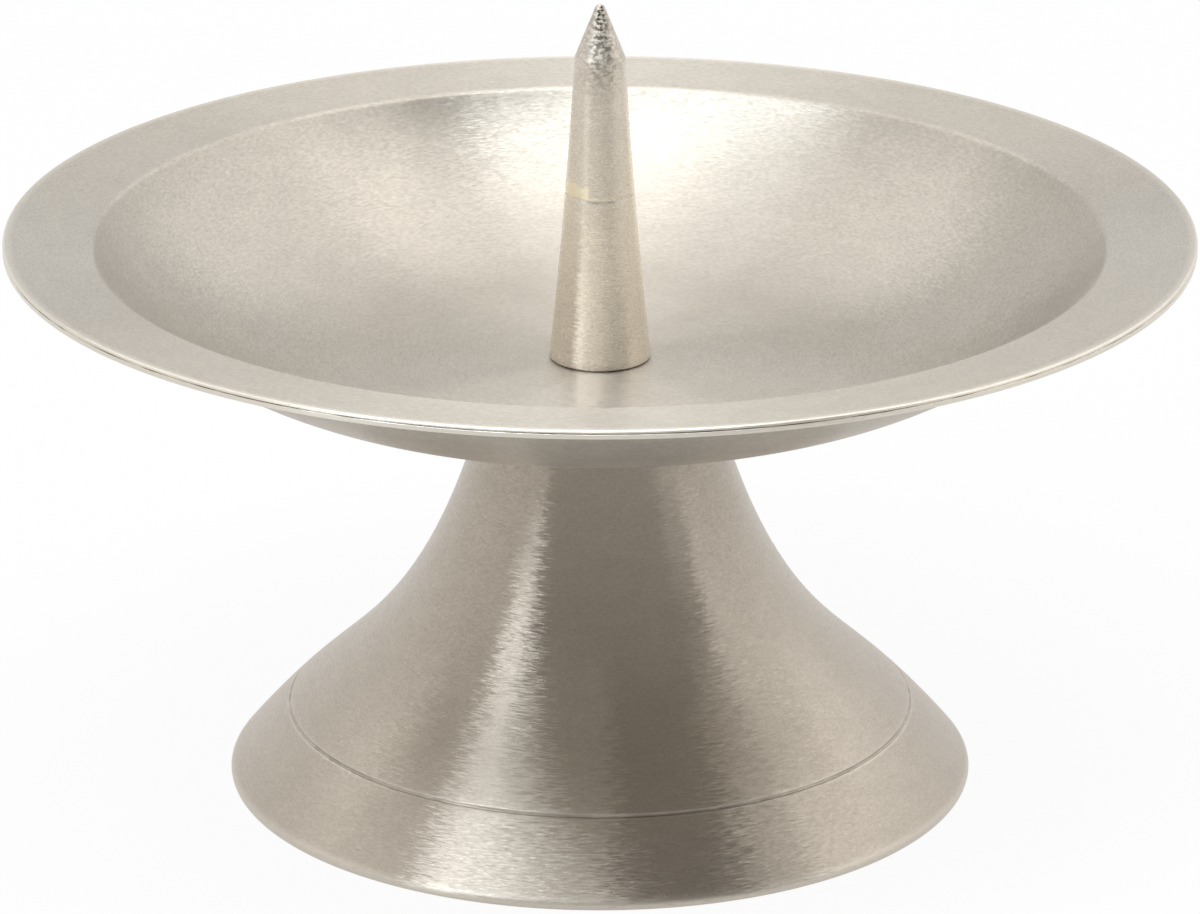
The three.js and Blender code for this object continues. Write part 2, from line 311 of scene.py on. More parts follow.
def add_surface(name, grid, closed=True, painted_shade=0.0, painted_highlight=0.0):
    """A mesh from a grid of points P(row, column), whose columns go round and join up.

    The rows of a closed grid join up too, and run up the outside and down the inside. An open one
    may start and end with a row that is a single point. The UV map holds the length along the
    outline in metres and the share of a turn. The two float attributes say where shade is painted
    darker and where a highlight is painted paler, from 0 to 1.
    """
    rows, columns = grid.shape[:2]
    row = np.arange(rows if closed else rows - 1)[:, None]
    column = np.arange(columns)
    corners = [(row, column), (row, column + 1), (row + 1, column + 1), (row + 1, column)]
    faces = [(r % rows) * columns + c % columns for r, c in corners]
    steps = np.linalg.norm(np.roll(grid, -1, 0) - grid, axis=2).mean(1)
    reach = np.concatenate([[0], np.cumsum(steps)])
    places = [np.stack([reach[r] + 0 * c, c / columns + 0 * r], 2) for r, c in corners]

    mesh = bpy.data.meshes.new(name)
    mesh.from_pydata(grid.reshape(-1, 3).tolist(), [], np.stack(faces, 2).reshape(-1, 4).tolist())
    uv = mesh.uv_layers.new(name="UVMap")
    uv.data.foreach_set("uv", np.stack(places, 2).astype(np.float32).ravel())
    for kind, amount in (("painted_shade", painted_shade), ("painted_highlight", painted_highlight)):
        values = np.broadcast_to(amount, (rows, columns)).astype(np.float32)
        mesh.attributes.new(kind, "FLOAT", "POINT").data.foreach_set("value", values.ravel())
    if not closed:
        # A single point is there many times over, and its quads become triangles
        merged = bmesh.new()
        merged.from_mesh(mesh)
        bmesh.ops.remove_doubles(merged, verts=merged.verts, dist=MERGE_DISTANCE)
        merged.to_mesh(mesh)
        merged.free()
    mesh.polygons.foreach_set("use_smooth", np.ones(len(mesh.polygons), bool))
    mesh.set_sharp_from_angle(angle=SHARP_ANGLE)
    piece = bpy.data.objects.new(name, mesh)
    bpy.context.scene.collection.objects.link(piece)
    return piece


def dress(piece, material, node):
    """Gives a piece its material, and sets it on the body in place of its node."""
    piece.data.materials.append(material)
    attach(piece, BODY)
    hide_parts(node)


# Shapes


def dish_grid(size, hole_radius, spike_radius):
    """The dish, one sheet, turned, with where shade is painted on it and where a highlight is
    painted.

    Its upper side runs flat, up a wide arc and a tight one, over the crease and out along the rim.
    With b and w the slopes where the arcs end, their radii R and r follow from the run and the rise
    between floor and crease:
    run = R sin b + r (sin w - sin b) and rise = R (1 - cos b) + r (cos b - cos w).
    """
    rim, bowl, wall = size.rim_slope, size.bowl_slope, size.wall_slope
    crease_radius = size.crease_radius + DISH_SHEET
    edge = np.array([size.radius, size.depth])
    crease = edge - heading(rim) * size.rim_width / math.cos(rim)
    tangent = crease_radius * math.tan((wall - rim) / 2)
    wall_top = crease - heading(wall) * tangent
    rim_start = crease + heading(rim) * tangent
    floor_edge = np.array([size.floor_radius, DISH_SHEET])
    beside_spike = [spike_radius + CLOSE_ROWS, DISH_SHEET]
    shares = [
        [math.sin(bowl), math.sin(wall) - math.sin(bowl)],
        [1 - math.cos(bowl), math.cos(bowl) - math.cos(wall)],
    ]
    wide, tight = np.linalg.solve(shares, wall_top - floor_edge)
    tight_centre = wall_top + left_of(wall) * tight
    crease_centre = rim_start - left_of(rim) * crease_radius
    sheet = [
        line([hole_radius, DISH_SHEET], beside_spike, steps=14),
        line(beside_spike, floor_edge, steps=6),
        arc(floor_edge + [0, wide], wide, -QUARTER, bowl - QUARTER, steps=26),
        arc(tight_centre, tight, bowl - QUARTER, wall - QUARTER, steps=16),
        arc(crease_centre, crease_radius, wall + QUARTER, rim + QUARTER, steps=10),
        line(rim_start, edge, steps=8),
    ]
    top, under = trace(sheet)[:-1], trace(sheet, -DISH_SHEET)
    low = np.array([edge[0], under[-1][1] + (edge[0] - under[-1][0]) * math.tan(rim)])
    inner = under[under[:, 0] < edge[0] - size.bead]
    lip = edge[1] - FOLD_PLACE * size.bead
    bottom_of_fold = [edge[0] - size.fold, lip]
    outline = np.concatenate([
        inner,
        fillet(inner[-1], low, edge, CORNER),
        [[edge[0], lip - size.fold], bottom_of_fold, [edge[0], lip + size.fold]],
        fillet(low, edge, top[-1], size.bead, steps=8),
        top[::-1],
    ])
    radius, height = outline[:, :1], outline[:, 1:]
    on_floor = abs(height - DISH_SHEET) < CORNER
    in_fold = (outline == bottom_of_fold).all(axis=1, keepdims=True)
    # Painted shade in a ring on the floor beside the spike and in the fold under the bead, and a
    # painted highlight on the rim's edge
    painted_shade = np.maximum(bump(radius - spike_radius, *SHADE_BESIDE_SPIKE) * on_floor, in_fold)
    rim_highlight = np.clip((radius - edge[0] + HIGHLIGHT_ON_RIM * size.bead) / size.bead, 0, 1)
    return turned(outline, STEPS_SHEET) + [0, 0, DISH_LOW.z], painted_shade, rim_highlight


def foot_grid(size, hole_radius):
    """The foot, one sheet, turned, with where shade is painted on it and where a highlight is
    painted.

    Its outer side runs from the lower edge up the skirt, a long arc, to the turned line, on up a
    cubic curve that sweeps into the neck, and over a bend into the flat top. Its slopes are the
    angles of the outward normal. The skirt's chord leans so that its arc leaves the rounding of the
    edge smoothly: its normal is the angle of the way from the rounding's centre to the turned line,
    less acos(r cos h / d), where r is the rounding's radius, h half of what the skirt turns, and d
    the way's length.
    """
    half, neck = size.skirt_curve, size.neck_slope
    bend = size.neck_bend + size.wall
    edge_centre = np.array([size.radius - size.edge, size.edge])
    groove = np.array([size.radius - size.groove_inset, size.groove_height])
    way = groove - edge_centre
    lean = math.acos(size.edge * math.cos(half) / np.linalg.norm(way))
    chord = math.atan2(way[1], way[0]) - lean
    edge_angle, groove_angle = chord - half, chord + half
    edge_top = edge_centre + heading(edge_angle) * size.edge
    skirt_radius = np.linalg.norm(groove - edge_top) / (2 * math.sin(half))
    skirt_centre = groove - heading(groove_angle) * skirt_radius
    neck_top = np.array([size.neck_radius, size.height - bend * (1 - math.sin(neck))])
    bend_centre = neck_top - heading(neck) * bend
    flank = np.linalg.norm(neck_top - groove)
    handles = [
        groove,
        groove + left_of(groove_angle) * SKIRT_PULL * flank,
        neck_top - left_of(neck) * NECK_PULL * flank,
        neck_top,
    ]
    skirt = [arc(skirt_centre, skirt_radius, edge_angle, groove_angle, steps=18)]
    body = [
        bezier(handles, steps=70),
        arc(bend_centre, bend, neck, QUARTER, steps=10),
        line([bend_centre[0], size.height], [hole_radius, size.height], steps=3),
    ]

    # The turned line is a round-bottomed cut: depth times cos^2 across its width
    across = np.linspace(-0.5, 0.5, num=13)[:, None]
    cut = (
        groove
        + left_of(groove_angle) * across * size.groove_width
        - heading(groove_angle) * size.groove_depth * np.cos(math.pi * across) ** 2
    )
    clear = GROOVE_MARGIN * size.groove_width
    below, above = trace(skirt), trace(body)
    outside = np.concatenate([
        arc(edge_centre, size.edge, -QUARTER, edge_angle, steps=12)[0][:-1],
        below[np.linalg.norm(below - groove, axis=1) > clear],
        cut,
        above[np.linalg.norm(above - groove, axis=1) > clear],
    ])

    # Inside, the sheet ends at a short upright face, so the ring on the table is flat
    inside = trace(skirt + body, size.wall)
    land = np.interp(size.land, inside[:, 1], inside[:, 0])
    hollow = inside[inside[:, 1] > size.land][::-1]
    ring = fillet([land, size.land], [land, 0], [size.radius, 0], CORNER)
    outline = np.concatenate([outside, hollow, [[land, size.land]], ring])
    # Painted shade in the turned line, and a painted highlight on its lips and along the lower edge
    away = np.linalg.norm(outline - groove, axis=1, keepdims=True)
    lips = bump(away - size.groove_width / 2, *HIGHLIGHT_ON_LIPS)
    edge = bump(outline[:, :1] - size.radius, *HIGHLIGHT_ON_FOOT)
    return turned(outline, STEPS_SHEET), bump(away, *SHADE_IN_GROOVE), np.maximum(lips, edge)


def thread_radius(height, around, radius, pitch):
    """The M5 thread: r(z, a) = radius - depth v(z / pitch - a / 2 pi). The valley v is a triangle
    wave cut flat at crest and root, and the ridge beside it climbs one pitch a turn."""
    phase = (height / pitch - around / TURN) % 1
    wave = THREAD_STRETCH * (1 - abs(2 * phase - 1)) - THREAD_CREST
    return radius - THREAD_DEPTH * pitch * np.clip(wave, 0, 1)


def spike_grid(size):
    """The spike and its stud, turned, with where shade is painted on them.

    The flank is a quadratic curve whose middle handle lies twice the waist inside the straight
    taper, and the scored ring is a dent e^(-(z / w)^2). The steep cone touches the ball of the tip:
    its normal is the angle of the way from the ball to the shoulder plus acos(r / d), where r is
    the ball's radius and d the way's length. The stud's radius is the thread's.
    """
    foot = np.array([size.radius, size.edge])
    shoulder = np.array([size.point_radius, size.height - size.point_length])
    middle = (foot + shoulder) / 2 - [2 * size.waist, 0]
    ball = np.array([0, size.height - size.tip_radius])
    way = shoulder - ball
    cone = math.atan2(way[1], way[0]) + math.acos(size.tip_radius / np.linalg.norm(way))
    tip = arc(ball, size.tip_radius, cone, QUARTER, steps=12)[0]
    flank = bezier([foot, middle, shoulder], steps=240)[0]
    from_score = flank[:, 1] - size.score_height
    every_fourth = np.arange(len(flank)) % 4 == 0
    flank[:, 0] -= bump(from_score, SCORE_DEPTH, SCORE_WIDTH)
    flank = flank[(abs(from_score) < SCORE_MARGIN) | every_fourth]

    # The cone's first two points give way to the rounding between it and the flank
    body = np.concatenate([
        arc([size.radius - size.edge, size.edge], size.edge, -QUARTER, 0, steps=8)[0],
        flank[1:-1],
        fillet(flank[-2], shoulder, tip[0], SHOULDER_RADIUS, steps=8),
        line(shoulder, tip[0], steps=20)[0][2:-1],
        tip[:-1],
        [[0, size.height]],
    ])

    around = np.linspace(0, TURN, STEPS_SPIKE, endpoint=False)
    low = SPIKE_LOW.z - SPIKE_SEAT
    root = size.stud_radius - THREAD_DEPTH * size.stud_pitch
    height = np.linspace(low, -THREAD_RUNOUT, num=160)[:, None]
    thread = thread_radius(height + SPIKE_SEAT, around, size.stud_radius, size.stud_pitch)
    chamfer = root - CORNER + (height - low)
    grid = np.concatenate([
        turned(np.array([[0, low]]), STEPS_SPIKE),
        round_axis(np.minimum(thread, chamfer), around, height),
        turned(np.array([[root, -THREAD_RUNOUT], [root, 0]]), STEPS_SPIKE),
        turned(body, STEPS_SPIKE),
    ])
    level = grid[:, :1, 2]
    # Painted shade round the spike's foot and in the scored ring
    in_score = bump(level - size.score_height, *SHADE_IN_SCORE)
    return grid + [0, 0, SPIKE_SEAT], bump(level, *SHADE_UNDER_SPIKE) + in_score


def ring_section(inner, outer, low, high):
    """The rounded section of a stamped ring."""
    return rounded([[inner, low], [outer, low], [outer, high], [inner, high]], CORNER)


def spring_grid(size):
    """The slit washer: its section (r, z) is carried round from one side of the slit to the other,
    a(t, z) = lean(z) + g / 2 + t (2 pi - g), where g is the slit's angle, and its slant makes
    lean = (z - middle) tan(tilt) / mean radius."""
    section = ring_section(size.hole_radius, size.spring_radius, SPRING_LOW.z, SPRING_HIGH.z)
    radius, height = section[:, 0], section[:, 1]
    mean = (size.hole_radius + size.spring_radius) / 2
    middle = (SPRING_LOW.z + SPRING_HIGH.z) / 2
    gap = size.slit / math.cos(size.slit_tilt) / mean
    t = np.linspace(1, 0, STEPS_SMALL)[:, None]
    lean = (height - middle) * math.tan(size.slit_tilt) / mean
    loops = round_axis(radius, lean + gap / 2 + t * (TURN - gap), height)

    # Each end is closed by a fan of faces about its middle
    first, last = (np.broadcast_to(end.mean(0), end.shape)[None] for end in (loops[0], loops[-1]))
    return np.concatenate([first, loops, last])


def nut_grid(size, spike):
    """The nut. At the angle a its side is R(a) = (flats / 2) / cos(a folded to within 30 degrees of
    a flat's middle), its turned corners drop by (R - face) tan(chamfer), and its bore is the stud's
    thread plus a small clearance, opened by a cone at both ends."""
    low, high = NUT_LOW.z, NUT_HIGH.z
    around = np.linspace(0, TURN, STEPS_SMALL, endpoint=False)
    side = size.nut_flats / 2 / np.cos(around % (TURN / 6) - TURN / 12)
    face = NUT_FACE * size.nut_flats / 2
    drop = np.maximum(side - face, 0) * math.tan(size.nut_chamfer)
    mouth = size.hole_radius + size.countersink / 2
    shell = [
        (mouth, low),
        (face, low),
        (side, low + drop),
        (side, high - drop),
        (face, high),
        (mouth, high),
    ]
    height = np.linspace(high, low, num=90)[1:-1, None]
    cone = mouth - np.minimum(high - height, height - low)
    thread = thread_radius(height, around, spike.stud_radius, spike.stud_pitch) + THREAD_CLEARANCE
    outside = np.array([round_axis(radius, around, level) for radius, level in shell])
    return np.concatenate([outside, round_axis(np.maximum(thread, cone), around, height)])


# Materials

# What all the metals from the lathe share
SPECK_LIGHTER = 0.7  # how far their grain lightens them, as a share of how far it darkens them
BLOTCH_SIZE = (9, 6)  # length and width of large faint blotches, in clouds
BLOTCH_TONE = 0.03  # how far those change the colour
SHADE_PATCH_SIZE = 4.0  # patches, in millimetres, in which the painted shade is thick or thin
SHADE_PATCH_SPAN = (-0.5, 1.3)  # least and most that the painted shade is multiplied by, before clamping
DULL_LENGTH = 0.6  # dashes of a different roughness, in lengths of a stroke
DULL_SPAN = 0.06  # how far those change the roughness

# The bare patch on the spike. Its azimuths, in degrees, are where it is gone and where it is full.
PATCH_LEFT = (-84, -74)
PATCH_RIGHT = (-18, -20)
PATCH_FOOT = (0.05 * MM, 0.12 * MM)  # the same for its lower edge, above the scored ring
PATCH_TOP = (1.15 * MM, 1.6 * MM)  # its ragged upper edge, at the lowest and the highest
PATCH_FADE = 0.15 * MM  # how far it fades out there
PATCH_NOTCH = 0.6  # millimetres from notch to notch

# The pits painted dark in the spike's point, as painted shade and dark reflection, and its filed
# surface
PITS_START = 9 * MM  # how far below the tip the first pits are, and
PITS_FULL = 1 * MM  # how far below it they are all there
PITS_LEFT = (-45, -15)  # azimuths in degrees, where they are scarce and where they are dense
PITS_RIGHT = (55, 25)
PITS_SCARCE = 0.3  # how deep they are where they are scarce
PIT_SIZE = (0.45, 0.3)  # millimetres
PIT_DETAIL = 3.0  # detail of their noise, and
PIT_SPREAD = 0.08  # its spread, small so that their edges are sharp
FILED_BLEND = 0.3 * MM  # how far from the shoulder the filed surface sets in
FILED_DULLER = 0.22  # what filing adds to the roughness


def add(tree, kind, inputs=None, output=0, **settings):
    """Adds a node with its settings. An input is a value, or another node's output to link."""
    made = tree.nodes.new(kind)
    for name, value in settings.items():
        setattr(made, name, value)
    for name, value in (inputs or {}).items():
        if isinstance(value, bpy.types.NodeSocket):
            tree.links.new(value, made.inputs[name])
        else:
            made.inputs[name].default_value = value
    return made.outputs[output] if len(made.outputs) else made


def calculate(tree, operation, first, second, **settings):
    """A sum, product or the like of two values."""
    return add(tree, "ShaderNodeMath", {0: first, 1: second}, operation=operation, **settings)


def mix(tree, share, under, over, **settings):
    """A colour turned into another by a share from 0 to 1. The node's inputs 6 and 7 and its
    output 2 are the ones for colours."""
    inputs = {0: share, 6: under, 7: over}
    return add(tree, "ShaderNodeMix", inputs, output=2, data_type="RGBA", **settings)


def solid(rgb):
    """A colour from the finishes, with its alpha."""
    return [*rgb, 1]


def new_tree(owner):
    """The empty node tree of a material or a world."""
    owner.use_nodes = True
    owner.node_tree.nodes.clear()
    return owner.node_tree


def lathe_place(tree):
    """(x, y, length along the outline) in millimetres. Noise that is long in the first two and
    short in the third runs round the axis, as lathe marks do, and joins up after a turn."""
    spot = add(tree, "ShaderNodeTexCoord", output="Object")
    parts = add(tree, "ShaderNodeSeparateXYZ", {0: spot}).node
    uv = add(tree, "ShaderNodeUVMap", uv_map="UVMap")
    reach = add(tree, "ShaderNodeSeparateXYZ", {0: uv})
    inputs = {"X": parts.outputs["X"], "Y": parts.outputs["Y"], "Z": reach}
    lathe = add(tree, "ShaderNodeCombineXYZ", inputs)
    return add(tree, "ShaderNodeVectorMath", {0: lathe, "Scale": 1 / MM}, operation="SCALE")


def marks(tree, place, along, across, low, high, detail=2.0, spread=0.22):
    """Values from low to high in marks of a given length and width, in millimetres. They come from
    noise round 0.5, which is cut off where it differs from that by more than the spread."""
    size = (1 / along, 1 / along, 1 / across)
    vector = add(tree, "ShaderNodeVectorMath", {0: place, 1: size}, operation="MULTIPLY")
    noise = add(tree, "ShaderNodeTexNoise", {"Vector": vector, "Scale": 1.0, "Detail": detail})
    return add(tree, "ShaderNodeMapRange", {
        "Value": noise,
        "From Min": 0.5 - spread,
        "From Max": 0.5 + spread,
        "To Min": low,
        "To Max": high,
    })


def lathe_metal(name, metal, finishes, stroke, lean, cloud, speckle, roughness, anisotropy):
    """A metal brushed on the lathe. Its roughness is wide along the outline and narrow round the
    axis, and each stroke, of a length and width in millimetres, leans its normal sideways by up to
    an angle. Real strokes are a few hundredths of a millimetre wide, too fine to show, so those in
    the nickel are drawn 0.12 mm wide. Returns the material, its shader, its place and its colour,
    for what else a finish has."""
    material = bpy.data.materials.new(name)
    tree = new_tree(material)
    place = lathe_place(tree)
    tangent = add(tree, "ShaderNodeTangent", direction_type="UV_MAP", uv_map="UVMap")
    normal = add(tree, "ShaderNodeNewGeometry", output="Normal")
    sideways = add(tree, "ShaderNodeVectorMath", {0: tangent, 1: normal}, operation="CROSS_PRODUCT")
    amount = marks(tree, place, *stroke, -lean, lean)
    shift = add(tree, "ShaderNodeVectorMath", {0: sideways, "Scale": amount}, operation="SCALE")
    leaned = add(tree, "ShaderNodeVectorMath", {0: normal, 1: shift}, operation="ADD")
    leaned = add(tree, "ShaderNodeVectorMath", {0: leaned}, operation="NORMALIZE")

    grain = marks(tree, place, cloud, cloud / 2, 1 - speckle, 1 + SPECK_LIGHTER * speckle)
    long, wide = (share * cloud for share in BLOTCH_SIZE)
    blotch = marks(tree, place, long, wide, 1 - BLOTCH_TONE, 1 + BLOTCH_TONE)
    tone = calculate(tree, "MULTIPLY", grain, blotch)
    shade = mix(tree, 1.0, solid(metal), tone, blend_type="MULTIPLY")
    # Painted highlight: paler nickel where the mesh marks edges and lips
    painted_highlight = add(tree, "ShaderNodeAttribute", output="Fac", attribute_name="painted_highlight")
    shade = mix(tree, painted_highlight, shade, solid(finishes.bright))
    # Painted shade: the dark colour where the mesh marks grooves, pits and corners, thick in some
    # patches and thin in others
    shade_mask = add(tree, "ShaderNodeAttribute", output="Fac", attribute_name="painted_shade")
    patches = marks(tree, place, SHADE_PATCH_SIZE, SHADE_PATCH_SIZE, *SHADE_PATCH_SPAN)
    shade_mask = calculate(tree, "MULTIPLY", shade_mask, patches, use_clamp=True)
    shade = mix(tree, shade_mask, shade, solid(finishes.painted_shade))
    long, wide = stroke
    span = (roughness - DULL_SPAN, roughness + DULL_SPAN)
    rough = marks(tree, place, DULL_LENGTH * long, wide, *span)
    shader = add(tree, "ShaderNodeBsdfPrincipled", {
        "Base Color": shade,
        "Metallic": 1.0,
        "Roughness": rough,
        "Anisotropic": anisotropy,
        "Normal": leaned,
        "Tangent": tangent,
    })
    add(tree, "ShaderNodeOutputMaterial", {"Surface": shader})
    return material, shader.node, place, shade


def satin_nickel(finishes):
    """Matt nickel plate on a spun dish. The eye sees a warm pale grey whose reflections smear out
    along the outline, in a fine mottled grain that is only slightly drawn round."""
    return lathe_metal(
        "satin nickel", finishes.satin, finishes, stroke=(1.1, 0.12), lean=0.04, cloud=0.5,
        speckle=0.12, roughness=0.34, anisotropy=0.95,
    )[0]


def brushed_nickel(finishes):
    """Nickel plate brushed on the lathe, on the spun foot. The eye sees tall streaks of light that
    stop at the turned line, and their edges broken up into short dashes."""
    return lathe_metal(
        "lathe-brushed nickel", finishes.brushed, finishes, stroke=(1.2, 0.12), lean=0.06,
        cloud=0.35, speckle=0.1, roughness=0.33, anisotropy=1.0,
    )[0]


def turned_nickel(finishes, size):
    """Nickel plate on a turned brass spike. The eye sees short wavy tool marks, a duller filed
    point with pits painted dark as shade and dark reflection, and a warm patch of bare brass
    above the scored ring."""
    material, shader, place, shade = lathe_metal(
        "turned nickel", finishes.turned, finishes, stroke=(1.3, 0.12), lean=0.09, cloud=0.3,
        speckle=0.13, roughness=0.3, anisotropy=0.8,
    )
    tree = material.node_tree
    spot = add(tree, "ShaderNodeTexCoord", output="Object")
    parts = add(tree, "ShaderNodeSeparateXYZ", {0: spot}).node
    height = parts.outputs["Z"]
    back = calculate(tree, "MULTIPLY", parts.outputs["Y"], -1.0)
    azimuth = calculate(tree, "ARCTAN2", parts.outputs["X"], back)

    # The bare patch, a band of height and azimuth with an uneven upper edge
    score = SPIKE_SEAT + size.score_height
    ragged = marks(tree, place, PATCH_NOTCH, PATCH_NOTCH, *PATCH_TOP)
    top = calculate(tree, "ADD", ragged, score)
    patch = 1.0
    for value, gone, full in (
        (height, score + PATCH_FOOT[0], score + PATCH_FOOT[1]),
        (top, height, calculate(tree, "ADD", height, PATCH_FADE)),
        (azimuth, *map(math.radians, PATCH_LEFT)),
        (azimuth, *map(math.radians, PATCH_RIGHT)),
    ):
        limits = {"Value": value, "From Min": gone, "From Max": full}
        inside = add(tree, "ShaderNodeMapRange", limits)
        patch = calculate(tree, "MULTIPLY", inside, patch)
    worn = mix(tree, patch, shade, solid(finishes.brass))

    # Pits near the tip, painted dark as shade and dark reflection, most of them up its front,
    # which faces the camera
    dense = add(tree, "ShaderNodeMapRange", {
        "Value": height,
        "From Min": SPIKE_HIGH.z - PITS_START,
        "From Max": SPIKE_HIGH.z - PITS_FULL,
    })
    for outer, inner in (PITS_LEFT, PITS_RIGHT):
        front = add(tree, "ShaderNodeMapRange", {
            "Value": azimuth,
            "From Min": math.radians(outer),
            "From Max": math.radians(inner),
            "To Min": PITS_SCARCE,
            "To Max": 1.0,
        })
        dense = calculate(tree, "MULTIPLY", dense, front)
    pits = marks(tree, place, *PIT_SIZE, 0.0, 1.0, detail=PIT_DETAIL, spread=PIT_SPREAD)
    depth = calculate(tree, "MULTIPLY", pits, dense)
    pitted = mix(tree, depth, worn, solid(finishes.painted_shade))
    tree.links.new(pitted, shader.inputs["Base Color"])

    # The point is filed, and duller than the turned flank
    shoulder = SPIKE_HIGH.z - size.point_length
    filed = add(tree, "ShaderNodeMapRange", {
        "Value": height,
        "From Min": shoulder - FILED_BLEND,
        "From Max": shoulder + FILED_BLEND,
        "To Min": 0.0,
        "To Max": FILED_DULLER,
    })
    rough = shader.inputs["Roughness"].links[0].from_socket
    dull = calculate(tree, "ADD", rough, filed)
    tree.links.new(dull, shader.inputs["Roughness"])
    return material


def plated_steel(name, finish, finishes, roughness, grain):
    """Zinc plate or oiled steel on small stamped parts. The eye sees a cool dull metal, clouded in
    blotches of the grain's size in millimetres."""
    return lathe_metal(
        name, finish, finishes, stroke=(grain, grain / 2), lean=0.03, cloud=grain, speckle=0.1,
        roughness=roughness, anisotropy=0.2,
    )[0]


# Stage

CAMERA_PLACE = (0, -628.6 * MM, 260.8 * MM)
CAMERA_TILT = math.radians(69.92)
CAMERA_LENS = 215.1
CAMERA_SENSOR = 36
WHITE = (1, 1, 1, 1)
FLOOR_RADIUS = 3.0
FLOOR_STEPS = 64
FLOOR_SEEN = 0.94  # how far the floor is lifted to white for the camera, and
FLOOR_MIRRORED = 0.9  # where the metal mirrors it
TENT_LIGHT = 0.3  # what the tent's walls give to the floor
LAMP_DISTANCE = 1.5  # metres from the plate to the lamps, and
CLOTH_DISTANCE = 2.0  # to the cloths, which hang behind them
CLOTH_COLUMNS = 25  # points across a cloth, and
CLOTH_ROWS = 13  # up it
SIGHT = 45 * MM  # height that the lamps point at

# Azimuth, elevation and roll in degrees, width and height in metres, brightness, where 1 is white,
# and colour. The key's tubes are a little cooler than the rest.
SOFT_BOXES = {
    "key soft box": (-35, 60, 55, 2.35, 0.48, 4.5, "#ebf5ff"),
    "overhead soft box": (31, 85, 32, 1.27, 0.94, 0.95, "#ffffff"),
    "back soft box": (118, 45, 0, 2.5, 1.18, 0.56, "#ffffff"),
    "wide soft box": (-152, 73, 17, 1.9, 2.35, 0.66, "#ffffff"),
}

# Azimuths and elevations in degrees, and brightness
CLOTHS = {
    "dark front cloth": ((-45, 50), (-1.7, 40), 0.33),
    "dark side cloth": ((50, 72), (16, 38), 0.1),
    "dark top cloth": ((6, 59), (40, 68), 0.15),
}


def from_axis(azimuth, elevation):
    """The direction D(a, e) = (sin a cos e, -cos a cos e, sin e), for angles in degrees."""
    a, e = np.broadcast_arrays(np.radians(azimuth), np.radians(elevation))
    return np.stack([np.sin(a) * np.cos(e), -np.cos(a) * np.cos(e), np.sin(e)], -1)


def seen_white(tree, direct=1.0, mirrored=1.0):
    """One share of white for the camera, one in reflections and through glass, and 0 otherwise."""
    path = add(tree, "ShaderNodeLightPath").node
    seen = calculate(tree, "MULTIPLY", path.outputs["Is Camera Ray"], direct)
    for kind in ("Is Glossy Ray", "Is Transmission Ray"):
        share = calculate(tree, "MULTIPLY", path.outputs[kind], mirrored)
        seen = calculate(tree, "MAXIMUM", seen, share)
    return seen


def add_camera(scene):
    """The camera, two thirds of a metre from the plate and looking down on it, with a long lens."""
    camera = bpy.data.cameras.new("camera")
    camera.lens = CAMERA_LENS
    camera.sensor_width = CAMERA_SENSOR
    view = bpy.data.objects.new("camera", camera)
    view.location = CAMERA_PLACE
    view.rotation_euler = (CAMERA_TILT, 0, 0)
    scene.collection.objects.link(view)
    scene.camera = view


def add_soft_box(name, azimuth, elevation, roll, width, height, brightness, hue):
    """A rectangular lamp that points at the plate. Its power is pi times area times brightness."""
    lamp = bpy.data.lights.new(name, "AREA")
    lamp.shape = "RECTANGLE"
    lamp.size = width
    lamp.size_y = height
    lamp.energy = math.pi * width * height * brightness
    lamp.color = linear(hue)[:3]
    box = bpy.data.objects.new(name, lamp)
    away = from_axis(azimuth, elevation)
    box.location = LAMP_DISTANCE * away + [0, 0, SIGHT]
    level = Vector(away).to_track_quat("Z", "Y")
    box.rotation_euler = (level @ Quaternion((0, 0, 1), math.radians(roll))).to_euler()
    bpy.context.scene.collection.objects.link(box)


def add_cloth(name, azimuths, elevations, brightness):
    """A cloth of the tent, P(a, e) = d D(a, e) + sight, seen by the camera only in reflections."""
    azimuth = np.linspace(*azimuths, num=CLOTH_COLUMNS)
    elevation = np.linspace(*elevations, num=CLOTH_ROWS)[:, None]
    points = CLOTH_DISTANCE * from_axis(azimuth, elevation) + [0, 0, SIGHT]
    corner = np.arange(CLOTH_ROWS - 1)[:, None] * CLOTH_COLUMNS + np.arange(CLOTH_COLUMNS - 1)
    above = corner + CLOTH_COLUMNS
    faces = np.stack([corner, above, above + 1, corner + 1], 2).reshape(-1, 4)
    mesh = bpy.data.meshes.new(name)
    mesh.from_pydata(points.reshape(-1, 3).tolist(), [], faces.tolist())
    material = bpy.data.materials.new(name)
    tree = new_tree(material)
    glow = add(tree, "ShaderNodeEmission", {"Color": WHITE, "Strength": brightness})
    add(tree, "ShaderNodeOutputMaterial", {"Surface": glow})
    mesh.materials.append(material)
    cloth = bpy.data.objects.new(name.replace(" ", "_"), mesh)
    cloth.visible_camera = False
    bpy.context.scene.collection.objects.link(cloth)


def add_floor(finishes):
    """A wide disc, P(r, a) = (r cos a, r sin a, 0), of matt pale board."""
    disc = turned(np.array([[FLOOR_RADIUS, 0], [0, 0]]), FLOOR_STEPS)
    floor = add_surface("floor", disc, closed=False)
    material = bpy.data.materials.new("matt pale board")
    tree = new_tree(material)
    board = add(tree, "ShaderNodeBsdfDiffuse", {"Color": solid(finishes.table)})
    white = add(tree, "ShaderNodeEmission", {"Color": WHITE, "Strength": 1.0})
    lift = seen_white(tree, FLOOR_SEEN, FLOOR_MIRRORED)
    mixed = add(tree, "ShaderNodeMixShader", {0: lift, 1: board, 2: white})
    add(tree, "ShaderNodeOutputMaterial", {"Surface": mixed})
    material.cycles.emission_sampling = "NONE"
    floor.data.materials.append(material)


